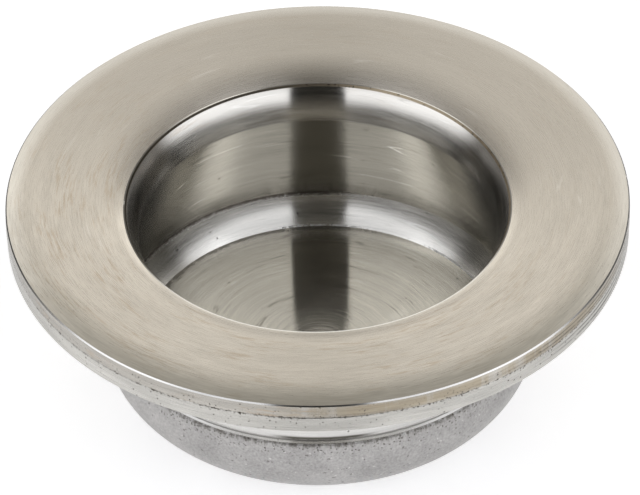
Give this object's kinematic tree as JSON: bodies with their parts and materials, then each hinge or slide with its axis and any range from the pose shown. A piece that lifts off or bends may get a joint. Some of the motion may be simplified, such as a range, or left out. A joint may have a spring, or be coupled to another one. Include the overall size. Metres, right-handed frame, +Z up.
{
  "type": "recessed pull handle",
  "caption": "Round flush pull for a door or drawer: a wide brushed flange around a deep finger cup that widens below its lip.",
  "frame": {"origin": "on the cup's axis, at the flat foot of the cup that it rests on", "axes": "+Z up along the cup's axis, out of its mouth; X and Y are alike, as the part is round"},
  "size_m": [0.06, 0.06, 0.0216],
  "materials": {
    "handle_metal": "brushed satin face and cup, polished rim and neck, rough shell as cast"
  },
  "bodies": {
    "root": {"flush_cup": "handle_metal"}
  },
  "joints": []
}
